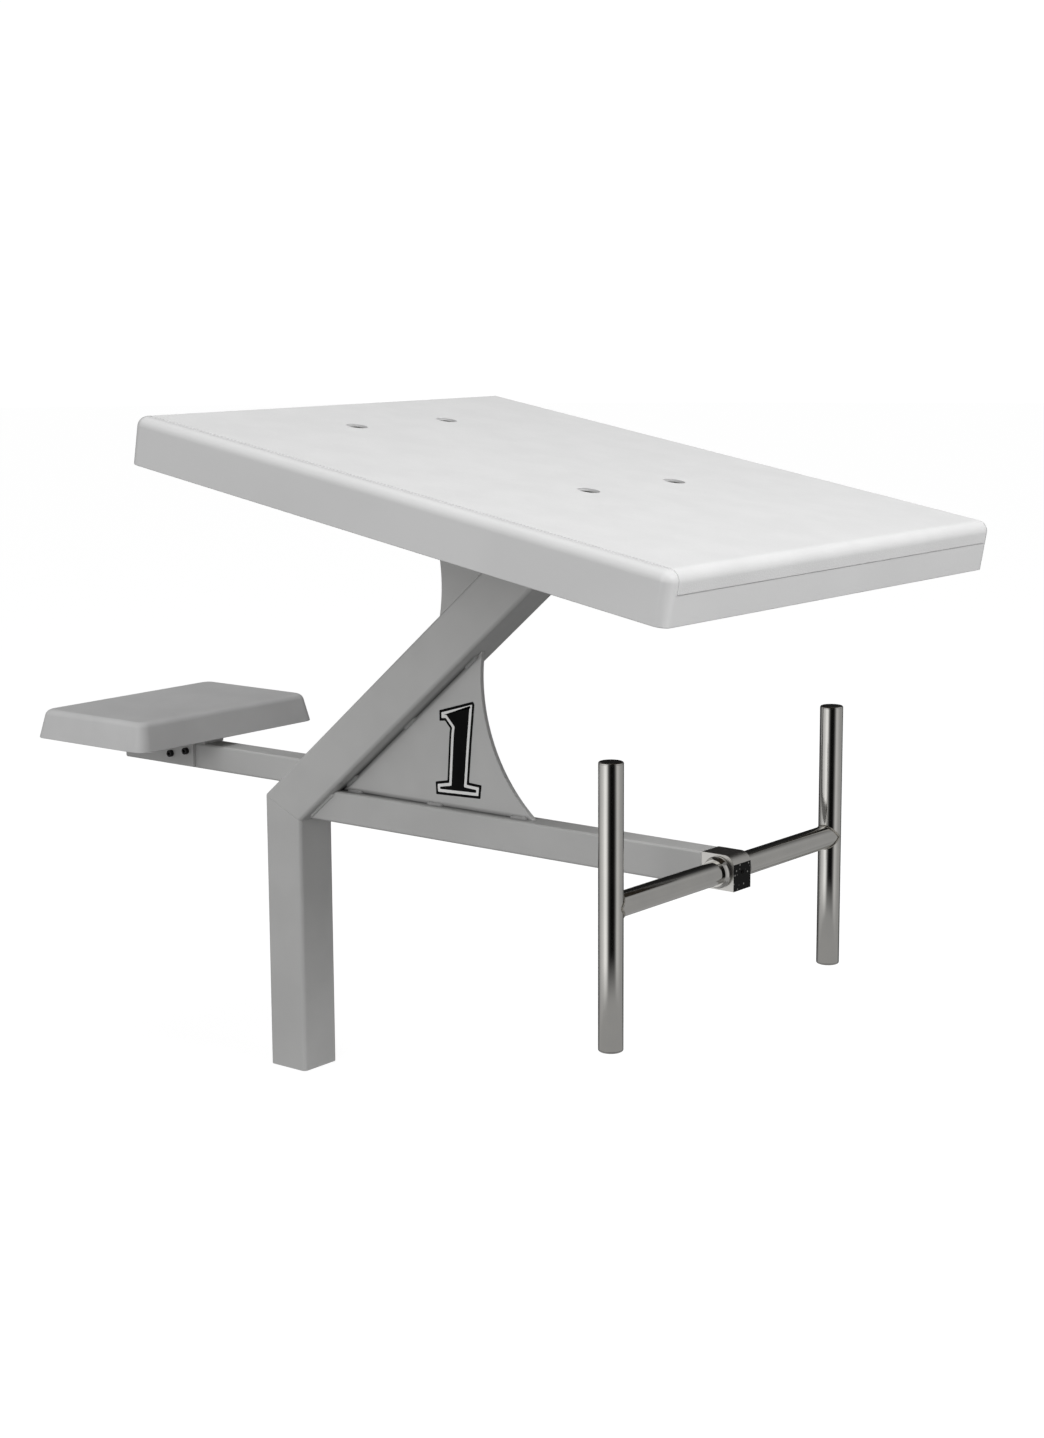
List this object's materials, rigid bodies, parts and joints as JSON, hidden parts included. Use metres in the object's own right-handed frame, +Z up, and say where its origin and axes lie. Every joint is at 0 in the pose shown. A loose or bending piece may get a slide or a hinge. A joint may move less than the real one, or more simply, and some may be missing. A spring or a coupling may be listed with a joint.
{
  "type": "swimming starting platform",
  "caption": "Sloping swimming-race starting platform on a cranked square post, with a rear step and an H-shaped backstroke grip bar held in a clamp block.",
  "frame": {"origin": "middle of the leg's foot, on its lower face", "axes": "+X forward over the water, +Y to the swimmer's left, +Z up"},
  "size_m": [1.0614, 0.61, 0.8039],
  "materials": {
    "frame_coat": "grey satin powder coat on steel tube",
    "polished_stainless": "polished stainless steel",
    "deck_gelcoat": "light grey gelcoat on glass-fibre laminate",
    "deck_tread": "off-white sanded gelcoat tread",
    "step_moulding": "grey moulded step, fine texture",
    "core_board": "resin-sealed plywood",
    "decal_vinyl": "black and white vinyl",
    "black_fasteners": "black oxide",
    "stainless_fasteners": "plain stainless steel"
  },
  "bodies": {
    "root": {"bracket_bolts": "black_fasteners", "bracket_nuts": "black_fasteners", "clamp_block": "polished_stainless", "clamp_grub_screws": "stainless_fasteners", "deck_bolt_head_washers": "stainless_fasteners", "deck_bolt_nut_washers": "stainless_fasteners", "deck_bolt_nuts": "stainless_fasteners", "deck_bolts": "stainless_fasteners", "deck_core_board": "core_board", "front_arm": "frame_coat", "front_arm_welds": "frame_coat", "front_web_plate": "frame_coat", "front_web_welds": "frame_coat", "lane_number_decal": "decal_vinyl", "leg_foot_cap": "frame_coat", "leg_post": "frame_coat", "mounting_plate": "frame_coat", "mounting_plate_welds": "frame_coat", "platform_shell": "deck_gelcoat", "rear_arm": "frame_coat", "rear_arm_plug": "frame_coat", "rear_arm_welds": "frame_coat", "sloping_post": "frame_coat", "spigot_screws": "stainless_fasteners", "step_bracket": "frame_coat", "step_core_board": "core_board", "step_screws": "stainless_fasteners", "step_shell": "step_moulding", "tread_skin": "deck_tread", "upper_web_plate": "frame_coat", "upper_web_welds": "frame_coat"},
    "grip_bar": {"grip_bar_collars": "polished_stainless", "grip_bar_welds": "polished_stainless", "grip_crossbar": "polished_stainless", "grip_end_caps": "polished_stainless", "left_grip_tube": "polished_stainless", "right_grip_tube": "polished_stainless"}
  },
  "joints": [
    {"name": "grip_bar_tilt", "type": "hinge", "parent": "root", "child": "grip_bar", "pos_m": [0.6192, 0, 0.3315], "axis": [0, 1, 0], "range_deg": [-90, 90]}
  ]
}
